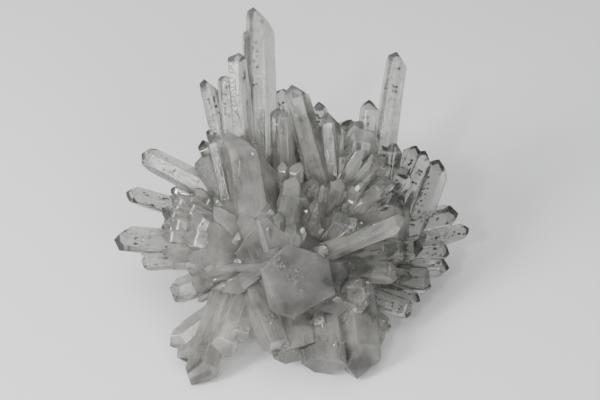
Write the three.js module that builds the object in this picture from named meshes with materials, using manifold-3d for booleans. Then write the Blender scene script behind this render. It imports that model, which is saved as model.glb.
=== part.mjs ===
// A quartz cluster: many crystals, clear at their tips and milky at their roots, that grew together
// from one heart and point out of it on all sides. It rests on a small flat spot below the heart.
// Millimetres. +Z is up, the front looks along -Y, and the origin is on the resting plane under
// the middle of the cluster's box.
import * as THREE from 'three';
import { ConvexGeometry } from 'three/addons/geometries/ConvexGeometry.js';
import { mergeVertices } from 'three/addons/utils/BufferGeometryUtils.js';
import Module from 'manifold-3d';

const wasm = await Module();
wasm.setup();

const HEART_HEIGHT = 10; // the heart's middle above the resting plane
const FACE_TILT = 40; // degrees that the face plane of the lists leans back from upright
const END_FACE_ANGLE = 51.8; // degrees from a crystal's axis to the normal of a rhomb face at its end
const SIDES = 6;
const TAPER = 1.1; // degrees that the prism faces close in towards the tip
const UNEVEN = 0.1; // how much the six sides differ in distance from the axis
const LARGE_END_STEP = [0, 0.06]; // how far the three large end faces stand past the tip, in half widths
const SMALL_END_STEP = [0.2, 0.48]; // and the three small ones between them
const BREAK_LEAN = 0.4; // how far a blunt end may lean, to each side
const LUMP_FACES = 26;
const LUMP_ROUGHNESS = 0.1; // how far a lump's faces stand in or out, of its radius
const GOLDEN_TURN = 137.5; // degrees between neighbours on a spiral of directions
const ROOT_DEPTH = 3; // how far each crystal goes on past its root point
const CORNER_MERGE = 0.02; // corners closer than this are one
const NEARLY_PARALLEL = 1e-5; // planes whose normals span less than this have no corner
const INSIDE_SLACK = 1e-6;
const BELOW_GROUND = [200, 200, 50]; // the box that cuts the cluster flat on the resting plane

const MILKY_QUARTZ = 0xbdbab6;

const DEGREE = Math.PI / 180;
const { lerp } = THREE.MathUtils;

// The lists below give places as [right, up, near] in the face plane, from the heart's middle:
// to the right, up the plane that leans back by FACE_TILT, and out of that plane.
const RIGHT = new THREE.Vector3(1, 0, 0);
const UP = new THREE.Vector3(0, Math.sin(FACE_TILT * DEGREE), Math.cos(FACE_TILT * DEGREE));
const NEAR = new THREE.Vector3(0, -Math.cos(FACE_TILT * DEGREE), Math.sin(FACE_TILT * DEGREE));

function place([right, up, near]) {
  return new THREE.Vector3(0, 0, HEART_HEIGHT)
    .addScaledVector(RIGHT, right)
    .addScaledVector(UP, up)
    .addScaledVector(NEAR, near);
}

// A small repeatable source of numbers from 0 to 1
function makeRandom(seed) {
  let state = seed * 2654435761 % 4294967296;
  return () => {
    state = (state * 1664525 + 1013904223) % 4294967296;
    return state / 4294967296;
  };
}

// The corners of the body inside all the planes, each given as { normal, reach }
function cornersInside(planes) {
  const corners = [];
  const line = new THREE.Vector3();
  for (let a = 0; a < planes.length; a++) {
    for (let b = a + 1; b < planes.length; b++) {
      for (let c = b + 1; c < planes.length; c++) {
        const [p, q, s] = [planes[a], planes[b], planes[c]];
        const volume = p.normal.dot(line.crossVectors(q.normal, s.normal));
        if (Math.abs(volume) < NEARLY_PARALLEL) continue;
        const corner = new THREE.Vector3()
          .addScaledVector(new THREE.Vector3().crossVectors(q.normal, s.normal), p.reach)
          .addScaledVector(new THREE.Vector3().crossVectors(s.normal, p.normal), q.reach)
          .addScaledVector(new THREE.Vector3().crossVectors(p.normal, q.normal), s.reach)
          .divideScalar(volume);
        const inside = planes.every((plane) => plane.normal.dot(corner) < plane.reach + INSIDE_SLACK);
        const known = corners.some((other) => other.distanceTo(corner) < CORNER_MERGE);
        if (inside && !known) corners.push(corner);
      }
    }
  }
  return corners;
}

// One crystal from its root to its tip: a six-sided prism that closes in a little and ends in
// three large and three small rhomb faces. flat thins it from front to back, roll turns it about
// its axis, lop moves the tip over the body, and blunt cuts a part of a half width off the end.
function crystal({ tip, root, width, flat = 1, roll = 0, lop = [0, 0], blunt = 0, seed = 1 }) {
  const random = makeRandom(seed);
  const end = place(tip);
  const start = place(root);
  const axis = end.clone().sub(start).normalize();
  const towards = NEAR.clone().addScaledVector(axis, -NEAR.dot(axis)).normalize();
  const across = new THREE.Vector3().crossVectors(towards, axis);
  const half = width / 2;
  const planes = [];
  for (let side = 0; side < SIDES; side++) {
    const angle = (roll + side * 360 / SIDES) * DEGREE;
    const out = towards.clone().multiplyScalar(Math.cos(angle)).addScaledVector(across, Math.sin(angle));
    const thin = 1 + (flat - 1) * Math.abs(Math.cos(angle));
    const shift = 1 - lop[0] * Math.sin(angle) - lop[1] * Math.cos(angle);
    const distance = half * thin * shift * lerp(1 - UNEVEN, 1 + UNEVEN, random());
    const wall = out.clone().multiplyScalar(Math.cos(TAPER * DEGREE))
      .addScaledVector(axis, Math.sin(TAPER * DEGREE));
    planes.push({ normal: wall, reach: wall.dot(end.clone().addScaledVector(axis, -width)) + distance });
    const rhomb = out.clone().multiplyScalar(Math.sin(END_FACE_ANGLE * DEGREE))
      .addScaledVector(axis, Math.cos(END_FACE_ANGLE * DEGREE));
    const step = lerp(...(side % 2 === 0 ? LARGE_END_STEP : SMALL_END_STEP), random());
    planes.push({ normal: rhomb, reach: rhomb.dot(end) + half * step });
  }
  planes.push({ normal: axis.clone().negate(), reach: -axis.dot(start) + ROOT_DEPTH });
  if (blunt > 0) {
    const slope = axis.clone()
      .addScaledVector(towards, lerp(-BREAK_LEAN, BREAK_LEAN, random()))
      .addScaledVector(across, lerp(-BREAK_LEAN, BREAK_LEAN, random()))
      .normalize();
    planes.push({ normal: slope, reach: slope.dot(end) - half * blunt });
  }
  return new ConvexGeometry(cornersInside(planes));
}

// A rough lump of quartz: the body inside planes that touch an ellipsoid
function lump({ middle, size, seed }) {
  const random = makeRandom(seed);
  const centre = place(middle);
  const planes = [];
  for (let index = 0; index < LUMP_FACES; index++) {
    const height = 1 - 2 * (index + 0.5) / LUMP_FACES;
    const turn = index * GOLDEN_TURN * DEGREE + random();
    const ring = Math.sqrt(1 - height * height);
    const normal = new THREE.Vector3(ring * Math.cos(turn), ring * Math.sin(turn), height);
    const radius = Math.hypot(normal.x * size[0], normal.y * size[1], normal.z * size[2]);
    const rough = lerp(1 - LUMP_ROUGHNESS, 1 + LUMP_ROUGHNESS, random());
    planes.push({ normal, reach: normal.dot(centre) + radius * rough });
  }
  return new ConvexGeometry(cornersInside(planes));
}

// Tall spires at the top left. The widest of them, in front, has one large end face to the right.
const TOP_LEFT = [
  { tip: [-4.2, 58, 12], root: [-4, 10, 6], width: 5.9, roll: 12, lop: [0.54, 0] },
  { tip: [-8, 47.4, 14], root: [-4.4, 10, 10], width: 4.6, roll: 25, blunt: 0.3 },
  { tip: [-10.9, 42, 13], root: [-8, 10, 10], width: 3.4, roll: 10, blunt: 0.3 },
  { tip: [-16, 41, 10], root: [-9.4, 12, 8], width: 4.8, roll: 28, lop: [0.4, 0] },
  { tip: [-9.6, 27.8, 17], root: [-5, 0, 16], width: 13, flat: 0.8, roll: 4, lop: [0.62, 0.2] },
  { tip: [-13.4, 27.2, 15], root: [-9, 8, 15], width: 3.2, roll: 18 },
  { tip: [-16, 26.2, 14], root: [-10, 12, 12], width: 3.8, roll: 20 },
  { tip: [-17, 23, 14], root: [-9, 10, 12], width: 5, roll: 0, blunt: 0.4 },
];

// Spires between the tall one and the right one
const TOP_MIDDLE = [
  { tip: [5, 39.2, 14], root: [12.6, 12, 10], width: 5.5, roll: 14, lop: [0.2, 0] },
  { tip: [2.4, 39.2, 9], root: [6, 14, 6], width: 3.2, roll: 0, blunt: 0.3 },
  { tip: [3.2, 33.2, 15], root: [4, 12, 12], width: 3, roll: 15 },
  { tip: [1.4, 34, 11], root: [2, 12, 8], width: 3.6, roll: 5 },
  { tip: [11.6, 35.8, 8], root: [13, 12, 5], width: 3.6, roll: 0 },
  { tip: [13.6, 32.8, 13], root: [15.6, 8, 10], width: 4.2, roll: 25, lop: [0.2, 0] },
  { tip: [16.4, 30, 10], root: [17, 10, 7], width: 4, roll: 10 },
  { tip: [2.9, 20.8, 19], root: [4.4, 8, 14], width: 3, roll: 10 },
  { tip: [7, 20.8, 19], root: [5.4, 8, 14], width: 3.4, roll: 30, lop: [-0.3, 0] },
  { tip: [6, 17.4, 21], root: [2, 1, 16], width: 6.6, roll: 15, lop: [0.3, 0] },
];

// The right spire and the blocks at its foot
const TOP_RIGHT = [
  { tip: [30.4, 48, 7], root: [25.2, 12, 5], width: 4.8, roll: 20, lop: [0.26, 0] },
  { tip: [29.4, 27, 7], root: [25.6, 8, 6], width: 5.4, roll: 5, blunt: 0.4 },
  { tip: [23.9, 36.4, 7], root: [22, 10, 6], width: 4.3, roll: 0, lop: [0.2, 0] },
  { tip: [19.2, 33.6, 5], root: [17, 10, 4], width: 7.6, roll: 15, blunt: 0.7 },
  { tip: [22, 31, 9], root: [13.4, 21, 8], width: 3, roll: 0 },
  { tip: [23.2, 30.2, 11], root: [18, 6, 9], width: 6.8, roll: 28, blunt: 0.5 },
  { tip: [18.8, 24.6, 13], root: [16, 8, 10], width: 4.4, roll: 8 },
  { tip: [26.5, 22.6, 15], root: [14, 10, 12], width: 4.4, roll: 5 },
  { tip: [27.8, 17.4, 16], root: [15, 7, 13], width: 2.4, roll: 0 },
  { tip: [29.4, 16.4, 15], root: [17, 6, 13], width: 2, roll: 25 },
];

// Crystals that point to the left
const LEFT = [
  { tip: [-32.2, 23.4, 2], root: [-4, 9, 8], width: 5.2, roll: 5 },
  { tip: [-36, 13.8, 3], root: [-6, 5, 7], width: 4.3, roll: 20, lop: [0, 0.1] },
  { tip: [-24.4, 14.6, 8], root: [-12, 10, 9], width: 2.2, roll: 0 },
  { tip: [-26.6, 9.4, 7], root: [-6, 4, 8], width: 4.4, roll: 12 },
  { tip: [-27.4, 6.4, 5], root: [-6, 1, 6], width: 5, roll: 0, blunt: 0.3 },
  { tip: [-39, 2.2, 3], root: [-4, -1, 6], width: 6.4, roll: 25, lop: [0.1, 0] },
  { tip: [-32, -3.4, 6], root: [-8, -1, 8], width: 4, roll: 0, blunt: 0.3 },
  { tip: [-24.6, -10.6, 12], root: [-2, -3, 9], width: 5.8, roll: 10, blunt: 0.4 },
];

// Crystals that point to the right
const RIGHT_SIDE = [
  { tip: [31.4, 7.6, 19.4], root: [8, -1.6, 15.4], width: 4.3, roll: 24, lop: [0.1, 0] },
  { tip: [49.2, 4.8, 0], root: [16, -6, 4], width: 3.3, roll: 0 },
  { tip: [41.4, 22, 2], root: [33, 0, 3], width: 6.2, roll: 10, lop: [0.1, 0] },
  { tip: [35.8, 25.4, 3], root: [25, 2, 5], width: 4.6, roll: 0 },
  { tip: [38, 24.2, 3], root: [28, 2, 5], width: 4, roll: 20 },
  { tip: [33, 20, 6], root: [22, 2, 8], width: 6, roll: 10 },
  { tip: [46.4, 8.6, 1], root: [26, 4, 2], width: 6.4, roll: 15, lop: [0.2, 0] },
  { tip: [33, 0.6, 15], root: [8, -1.6, 13], width: 6.2, flat: 0.8, roll: 0, blunt: 0.6 },
  { tip: [31, -5.2, 15.2], root: [6, -3.4, 13], width: 6.4, flat: 0.8, roll: 6, blunt: 0.5 },
  { tip: [36.8, 0.4, 8], root: [10, -2, 8], width: 4.8, roll: 10 },
  { tip: [44.6, -0.4, 2], root: [14, -3, 4], width: 5, roll: 0, blunt: 0.4 },
  { tip: [43.8, -4.8, 3], root: [12, -4, 4], width: 4.6, roll: 25 },
  { tip: [40.4, -8, 6], root: [10, -4, 6], width: 6.4, roll: 5, blunt: 0.5 },
  { tip: [36, -12.4, 9], root: [12, -4, 8], width: 3.6, roll: 20 },
  { tip: [34.7, -14.8, 10], root: [10, -6, 8], width: 4.4, roll: 0, blunt: 0.4 },
  { tip: [28.6, -19.4, 14], root: [8, -6, 10], width: 5, roll: 10, blunt: 0.3 },
];

// Crystals that point down to the front. Two of them reach the resting plane and act as feet.
const FRONT_LOW = [
  { tip: [-17.8, -30.4, 21.8], root: [-9.6, -6, 13.6], width: 7.6, roll: 26, lop: [-0.3, 0] },
  { tip: [-23.4, -22, 17.6], root: [-13, -14.6, 15.6], width: 5.4, roll: 10, lop: [-0.2, 0] },
  { tip: [-21.4, -25.4, 18.4], root: [-13, -16, 15.6], width: 4.6, roll: 20, blunt: 0.3 },
  { tip: [-12.6, -24.8, 21.2], root: [-5, -6, 14], width: 7.4, roll: 12, blunt: 0.5 },
  { tip: [-7.4, -21.8, 21], root: [-3, -6, 14], width: 5.4, roll: 8, blunt: 0.5 },
  { tip: [3, -24.2, 24.4], root: [-4.6, -7.4, 16], width: 6.2, roll: 20, blunt: 0.7 },
  { tip: [6.8, -28.6, 24.2], root: [5, -11, 14], width: 13, flat: 0.6, roll: 0, blunt: 0.9 },
  { tip: [13.4, -30.4, 24], root: [11, -11, 14], width: 11, flat: 0.7, roll: 6, blunt: 0.8 },
  { tip: [20.2, -29, 21], root: [18.6, -13, 13], width: 9.6, roll: 26, lop: [-0.2, 0] },
  { tip: [24, -24.4, 17], root: [20, -10, 11], width: 7.4, roll: 8, blunt: 0.5 },
];

// Crystals that point out at the front. The widest of them ends in one large blunt face.
const FRONT = [
  { tip: [6.2, -8.6, 32.4], root: [6.6, -5, 8], width: 15.6, roll: 12, blunt: 1 },
  { tip: [13.6, 0.6, 23], root: [9, -1, 15], width: 2.8, roll: 30 },
  { tip: [4.2, -1.6, 24.4], root: [-2, -4.4, 20], width: 3, roll: 5 },
  { tip: [24, -11, 17], root: [10, -4, 10], width: 7, roll: 8 },
  { tip: [25, 9, 12], root: [12, 2, 6], width: 5, roll: 16 },
];

// Flat blades that fan out to the left in two tiers
const FRONT_LEFT = [
  { tip: [-24, 13, 11], root: [-4, 2, 13], width: 5.4, flat: 0.6, roll: 12 },
  { tip: [-20.6, 11, 14.4], root: [-3, 2, 15], width: 4.6, flat: 0.6, roll: 4 },
  { tip: [-24.4, 7, 11.6], root: [-3, 1, 16], width: 5, flat: 0.6, roll: 6 },
  { tip: [-26, 3.6, 12], root: [-3, 0, 16], width: 5, flat: 0.6, roll: 2, lop: [0.2, 0] },
  { tip: [-25.6, -0.2, 13], root: [-3, -1.4, 16], width: 5.4, flat: 0.6, roll: 10 },
  { tip: [-19.4, -8, 15.6], root: [-2, -3, 15], width: 6, flat: 0.7, roll: 8, blunt: 0.4 },
  { tip: [-18.6, 8.4, 15.4], root: [0, -3, 18], width: 6.6, flat: 0.5, roll: 3, lop: [-0.3, 0] },
  { tip: [-20.4, 3.6, 15.6], root: [0, -2.4, 19], width: 7, flat: 0.5, roll: -4 },
  { tip: [-19.6, -1.4, 16.4], root: [0, -2.4, 19], width: 7.2, flat: 0.5, roll: 5, lop: [0.3, 0] },
  { tip: [-16.4, -6, 17.4], root: [0, -2, 19], width: 7, flat: 0.5, roll: -3 },
  { tip: [-10.8, -9.4, 19.4], root: [0, -1, 18], width: 7, flat: 0.6, roll: 6, lop: [-0.2, 0] },
  { tip: [-13, 10.4, 17.4], root: [0, -4, 17], width: 7, flat: 0.6, roll: -3, lop: [0.2, 0] },
  { tip: [-6.6, 9.4, 20], root: [-1, -5, 18], width: 6.4, flat: 0.6, roll: 2, lop: [0.2, 0] },
];

// Thin crystals that fan upwards to the right of the middle
const FRONT_FAN = [
  { tip: [-0.6, 11.6, 20.4], root: [0.6, -4, 15], width: 4.4, roll: 12 },
  { tip: [2.2, 9.2, 21.6], root: [2.6, -4, 16], width: 3.4, roll: 22, lop: [-0.2, 0] },
  { tip: [4.7, 15, 19.6], root: [6, 1, 14], width: 3.2, roll: 5 },
  { tip: [5.8, 6.6, 23], root: [5, -3, 17], width: 4, roll: 25 },
  { tip: [10, 17, 18.6], root: [8.6, 2, 13], width: 3.8, roll: 8 },
  { tip: [11.2, 11.6, 22.4], root: [8, 2, 14], width: 3.2, roll: 15 },
  { tip: [16.4, 17, 16.8], root: [11.6, 1, 12], width: 4, roll: 4 },
  { tip: [17.6, 9.6, 20], root: [12, 0, 12], width: 5, roll: 0, lop: [0.2, 0] },
  { tip: [20.4, 7.6, 19.4], root: [12, 0, 14], width: 3.4, roll: 25 },
  { tip: [21, 15.4, 16], root: [13, 1, 11], width: 3.8, roll: 18 },
];

const HAND_PLACED = [
  ...TOP_LEFT, ...TOP_MIDDLE, ...TOP_RIGHT, ...LEFT, ...RIGHT_SIDE, ...FRONT_LOW, ...FRONT,
  ...FRONT_LEFT, ...FRONT_FAN,
];

// The milky mass that the crystals grow out of. The last of its lumps is its flat foot.
const LUMPS = [
  { middle: [3, 1, 5], size: [20, 14, 13.4], seed: 5 },
  { middle: [18, 5, 4], size: [17, 13, 12], seed: 6 },
  { middle: [-5, 5, 6], size: [15, 13, 12], seed: 7 },
  { middle: [7, -8, 11], size: [15, 11, 10], seed: 8 },
  { middle: [-9, 1, 10], size: [12.5, 9.4, 8.4], seed: 10 },
  { middle: [20.6, -9, 16.6], size: [4.8, 4, 4.4], seed: 11 },
  { middle: [6, 1.6, -6.5], size: [16, 14, 9.6], seed: 9 },
];

// The back spray: crystals on a spiral of directions, from straight up to well below level, without
// those that face the front. The front hides HIDDEN_MEAN of them, and HIDDEN_MORE more on one side.
const SPIRAL_COUNT = 98;
const LOWEST_LIFT = -0.6; // sine of the lowest direction's slope
const FRONT_LIMIT = 0.16; // how far a direction may turn to the front
const BACK_REACH = [32, 42];
const BACK_WIDTH = [4, 6.8];
const BACK_BLUNT_SHARE = 0.4;
const BACK_ROOT = [4, 3, 4]; // the point that the spray comes from
const BACK_ROOT_SHARE = 0.2; // how far along each crystal starts
const HIDDEN_MEAN = 30;
const HIDDEN_MORE = 8;
const HIDDEN_TOWARDS = 35; // degrees from the right towards up
const LOWEST_TIP = 1.5; // above the resting plane
const BACK_SEED = 77;
const BACK_FIRST_SEED = 200; // of the crystals themselves

function backCrystals() {
  const random = makeRandom(BACK_SEED);
  const found = [];
  for (let index = 0; index < SPIRAL_COUNT; index++) {
    const lift = lerp(1, LOWEST_LIFT, (index + 0.5) / SPIRAL_COUNT);
    const turn = index * GOLDEN_TURN * DEGREE;
    const level = Math.sqrt(1 - lift * lift);
    const way = new THREE.Vector3(level * Math.cos(turn), level * Math.sin(turn), lift);
    const full = lerp(...BACK_REACH, random());
    const width = lerp(...BACK_WIDTH, random());
    const roll = 60 * random();
    const blunt = random() < BACK_BLUNT_SHARE ? 0.4 : 0;
    if (way.dot(NEAR) > FRONT_LIMIT) continue;
    const seen = [way.dot(RIGHT), way.dot(UP), way.dot(NEAR)];
    const side = Math.atan2(seen[1], seen[0]) - HIDDEN_TOWARDS * DEGREE;
    const hidden = (HIDDEN_MEAN + HIDDEN_MORE * Math.cos(side)) / Math.hypot(seen[0], seen[1]);
    const floor = lift < 0 ? (HEART_HEIGHT - LOWEST_TIP) / -lift : full;
    const reach = Math.min(full, hidden, floor);
    const tip = seen.map((value) => value * reach);
    const root = tip.map((value, number) => value * BACK_ROOT_SHARE + BACK_ROOT[number]);
    found.push({ tip, root, width, roll, blunt, seed: BACK_FIRST_SEED + index });
  }
  return found;
}

function solidFrom(geometry) {
  const shape = geometry.clone();
  shape.deleteAttribute('normal');
  shape.deleteAttribute('uv');
  const merged = mergeVertices(shape, 1e-5);
  return new wasm.Manifold(new wasm.Mesh({
    numProp: 3,
    vertProperties: merged.attributes.position.array,
    triVerts: new Uint32Array(merged.index.array),
  }));
}

// The outer skin of a joined solid: where crystals close off a space between them, it is filled
function outerSkin(solid) {
  const { vertProperties, triVerts } = solid.getMesh();
  const group = Array.from({ length: vertProperties.length / 3 }, (_, index) => index);
  const find = (index) => {
    while (group[index] !== index) index = group[index] = group[group[index]];
    return index;
  };
  for (let index = 0; index < triVerts.length; index += 3) {
    group[find(triVerts[index + 1])] = find(triVerts[index]);
    group[find(triVerts[index + 2])] = find(triVerts[index]);
  }
  let rightmost = 0;
  for (let index = 0; index < group.length; index++) {
    if (vertProperties[index * 3] > vertProperties[rightmost * 3]) rightmost = index;
  }
  const kept = [];
  for (let index = 0; index < triVerts.length; index += 3) {
    if (find(triVerts[index]) === find(rightmost)) kept.push(...triVerts.subarray(index, index + 3));
  }
  const geometry = new THREE.BufferGeometry();
  geometry.setAttribute('position', new THREE.BufferAttribute(vertProperties, 3));
  geometry.setIndex(kept);
  geometry.computeVertexNormals();
  return geometry;
}

// All lumps and crystals joined, cut flat on the resting plane and set over the origin
function clusterGeometry() {
  const pieces = [
    ...LUMPS.map(lump),
    ...HAND_PLACED.map((item, index) => crystal({ seed: index + 1, ...item })),
    ...backCrystals().map(crystal),
  ];
  const whole = pieces.map(solidFrom).reduce((joined, piece) => joined.add(piece));
  const below = new THREE.BoxGeometry(...BELOW_GROUND);
  below.translate(0, 0, -BELOW_GROUND[2] / 2);
  const skin = outerSkin(whole.subtract(solidFrom(below)));
  skin.computeBoundingBox();
  const middle = skin.boundingBox.getCenter(new THREE.Vector3());
  return skin.translate(-middle.x, -middle.y, 0);
}

const quartz = new THREE.MeshStandardMaterial({ color: MILKY_QUARTZ, roughness: 0.12, metalness: 0 });
const cluster = new THREE.Mesh(clusterGeometry(), quartz);
cluster.name = 'quartz_cluster';

const group = new THREE.Group();
group.add(cluster);

export default group;
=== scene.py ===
"""A quartz cluster: one body of crystals that grew together, on a pale studio floor.

The crystals are clear at their tips and milky at their roots. The main ones are given in the lists
below. Thinner crystals grow along each of them, needles spread from the front ones, small
crystals sparkle in patches, and all are joined into one skin. Dark flecks lie inside the clear ones.
"""

import itertools
import math

import bmesh
import bpy
import numpy as np
from bpy.props import FloatProperty, FloatVectorProperty, IntProperty, PointerProperty
from bpy.types import Operator, Panel, PropertyGroup
from mathutils import Matrix, Vector, noise
from mathutils.bvhtree import BVHTree


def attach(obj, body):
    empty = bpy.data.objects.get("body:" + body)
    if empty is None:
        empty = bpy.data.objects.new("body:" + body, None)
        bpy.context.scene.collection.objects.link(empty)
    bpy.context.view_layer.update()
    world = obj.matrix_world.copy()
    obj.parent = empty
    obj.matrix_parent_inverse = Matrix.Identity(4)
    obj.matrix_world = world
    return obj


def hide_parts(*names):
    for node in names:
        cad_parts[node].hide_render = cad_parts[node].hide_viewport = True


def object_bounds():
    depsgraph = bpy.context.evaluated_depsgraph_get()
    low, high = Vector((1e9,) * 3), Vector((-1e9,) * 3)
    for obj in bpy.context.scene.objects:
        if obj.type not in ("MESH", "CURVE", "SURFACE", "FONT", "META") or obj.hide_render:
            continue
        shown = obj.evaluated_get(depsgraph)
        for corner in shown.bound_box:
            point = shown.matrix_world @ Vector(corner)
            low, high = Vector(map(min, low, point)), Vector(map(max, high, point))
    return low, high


bl_info = {
    "name": "Quartz Cluster",
    "version": (1, 0, 0),
    "blender": (4, 5, 0),
    "location": "View3D > Sidebar > Quartz",
    "description": "Builds a quartz cluster from crystals that radiate from one heart",
    "category": "Object",
}

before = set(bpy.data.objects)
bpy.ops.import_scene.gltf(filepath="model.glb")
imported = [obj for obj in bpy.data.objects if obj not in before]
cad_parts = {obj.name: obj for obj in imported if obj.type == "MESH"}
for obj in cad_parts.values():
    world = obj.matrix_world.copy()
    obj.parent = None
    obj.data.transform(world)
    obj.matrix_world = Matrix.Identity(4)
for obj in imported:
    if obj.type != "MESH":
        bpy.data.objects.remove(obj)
CAD_LOW, CAD_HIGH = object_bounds()

NODE = "quartz_cluster"
MM = 0.001

# The heart's middle, in millimetres. The right blade and the back spray reach the box's sides.
RIGHT_BLADE_REACH = 49.33
BACK_SPRAY_REACH = 38.37
HEART_HEIGHT = 10.0
HEART = np.array([
    CAD_HIGH.x / MM - RIGHT_BLADE_REACH,
    CAD_HIGH.y / MM - BACK_SPRAY_REACH,
    HEART_HEIGHT,
])

# The part's box in millimetres
BOX_LOW, BOX_HIGH = np.array(CAD_LOW) / MM, np.array(CAD_HIGH) / MM

# Places in the lists are (right, up, near) in a plane that leans back by this angle.
FACE_TILT = math.radians(40)
FACE_AXES = np.array([
    [1.0, 0.0, 0.0],
    [0.0, math.sin(FACE_TILT), math.cos(FACE_TILT)],
    [0.0, -math.cos(FACE_TILT), math.sin(FACE_TILT)],
])
NEAR = FACE_AXES[2]

# The part's source of repeatable numbers
NUMBER_LIMIT = 2 ** 32
SEED_FACTOR = 2654435761
NUMBER_FACTOR = 1664525
NUMBER_STEP = 1013904223

# The habit of the crystals, as the part has it. A turn by SIDE_TURN degrees gives the next side.
SIDES = 6
SIDE_TURN = 60
END_FACE_ANGLE = math.radians(51.8)
STEEP = math.radians(64)
TAPER = math.radians(1.1)
UNEVEN = 0.1
LARGE_END_STEP = (0.0, 0.06)
SMALL_END_STEP = (0.2, 0.48)
BREAK_LEAN = 0.4
ROOT_DEPTH = 3.0
CORNER_MERGE = 0.02
LEAST_DETERMINANT = 1e-5
INSIDE_SLACK = 1e-6
LUMP_FACES = 26
LUMP_ROUGHNESS = 0.1
LUMP_CLEAR = 0.25
GOLDEN_TURN = math.radians(137.5)

# Growth layers: share of their crystal's width, how far they stand out in its half widths, how far
# back they end in its widths and in shares of its length, and how often they are blunt
LAYER_SHARE = (0.3, 0.62)
LAYER_PROUD = (-0.02, 0.1)
LAYER_BACK = (0.5, 1.0)
LAYER_SHORTER = (0.0, 0.45)
LAYER_ROOT_MOVE = 0.8
LAYER_BLUNT = 0.3
LAYER_BLUNT_CHANCE = 0.3
LAYER_ASIDE = (0.3, 0.5, 0.8)

# Thin needles that spread from the roots: angle from their crystal, width, share of its length,
# the steepest ends, offset in its widths, share of its clearness, and flatness
NEEDLE_LEAN = (math.radians(3), math.radians(13))
NEEDLE_WIDTH = (1.0, 2.8)
NEEDLE_LENGTH = (0.6, 0.98)
NEEDLE_POINT = math.radians(70)
NEEDLE_SPREAD = np.array([1, 1, 0.2])
NEEDLE_OFFSET = (0.1, 0.4)
NEEDLE_CLEAR = (0.6, 1.2)
NEEDLE_FLAT = (0.5, 1)

# Dark flecks inside the clear ends: half size in millimetres, how far back they lie in widths and
# in shares of the length, the least clearness, and their loose lines along the crystal, in widths
FLECK_SIZE = (0.22, 0.5)
FLECK_REACH = 3.4
FLECK_CLEAR = 0.55
FLECK_START = 0.8
FLECK_LONGEST = 0.6
FLECK_STRETCH = ((1, 0.5, 0.3), (1, 1, 0.7))
FLECK_LINES = 3
FLECK_LINE_OFFSET = 0.2
FLECK_LINE_SPREAD = 0.03

# Each edge is worn to a narrow flat. Depths in millimetres and in widths.
WEAR = 0.05
WEAR_SHARE = 0.014
LEAST_EDGE = 0.4
EDGE_SLACK = 0.03

# The surface bends in long waves and ripples: length, and depth at the tips and at the heart,
# in millimetres. Broken faces are chipped besides. Points on the resting plane stay on it.
NOISE_SEED = 7
REFINE_ROUNDS = 5
BEND_LENGTH = 7.0
BEND = (0.03, 0.22)
RIPPLE_LENGTH = 2.2
RIPPLE = (0.0, 0.04)
CHIP_LENGTH = 2.4
CHIP = 0.12
BEND_END = 32.0
BEND_FADE = 18.0
PLANE_SLACK = 0.01

# Patches of sparkling small crystals: where the camera sees them in the plane through the heart
# (right, up), radius and count. Then their widths, how far they stand out in widths, and how much
# they lean.
SPARKLES = (
    ((6.2, -8), 2.0, 30),
    ((-8.5, -20.7), 2.2, 16),
    ((-1, -18.2), 1.9, 14),
    ((1.8, -3.8), 1.8, 12),
    ((-23, 9), 4.8, 46),
    ((-17, 3), 4.0, 16),
    ((23.5, -10.5), 2.6, 18),
    ((18.2, 5), 1.4, 8),
    ((-4.6, 24.4), 1.6, 5),
    ((11.4, -18), 1.7, 18),
    ((16.6, -24), 2.0, 12),
    ((3, -25), 1.8, 10),
)
SPARKLE_WIDTH = (0.45, 1.1)
SPARKLE_TALL = (0.1, 0.6)
SPARKLE_LEAN = 0.3

CAMERA_PLACE = (7.0, 12.0, 260.0)

# Kinds of faces, kept with each face of the joined body
WALL, END, BROKEN, ROOT, EDGE = KINDS = range(5)
CHANCE_SEED = 5


def spire(
    tip, root, width, roll, clear, lop=(0, 0), blunt=0.0, flat=1.0, point=END_FACE_ANGLE,
    depth=ROOT_DEPTH, plain=False,
):
    """One row of the lists. clear goes from 0, milky, to 1, clear. A plain one has no layers."""
    return {
        "tip": np.array(tip, float), "root": np.array(root, float), "width": width,
        "roll": roll, "clear": clear, "lop": lop, "blunt": blunt, "flat": flat, "point": point,
        "depth": depth, "plain": plain,
    }


# Tall spires at the top left. The widest of them, in front, has one large end face to the right.
TOP_LEFT = (
    spire((-4.2, 58, 12), (-4, 10, 6), 5.9, 12, 0.6, lop=(0.54, 0)),
    spire((-8, 47.4, 14), (-4.4, 10, 10), 4.6, 25, 0.57, blunt=0.3),
    spire((-10.9, 42, 13), (-8, 10, 10), 3.4, 10, 0.6, blunt=0.3),
    spire((-16, 41, 10), (-9.4, 12, 8), 4.8, 28, 0.6, lop=(0.4, 0)),
    spire((-9.6, 27.8, 17), (-5, 0, 16), 13, 4, 0.1, lop=(0.62, 0.2), flat=0.8, plain=True),
    spire((-13.4, 27.2, 15), (-9, 8, 15), 3.2, 18, 0.5),
    spire((-16, 26.2, 14), (-10, 12, 12), 3.8, 20, 0.8),
    spire((-17, 23, 14), (-9, 10, 12), 5, 0, 0.5, blunt=0.4),
)

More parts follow.
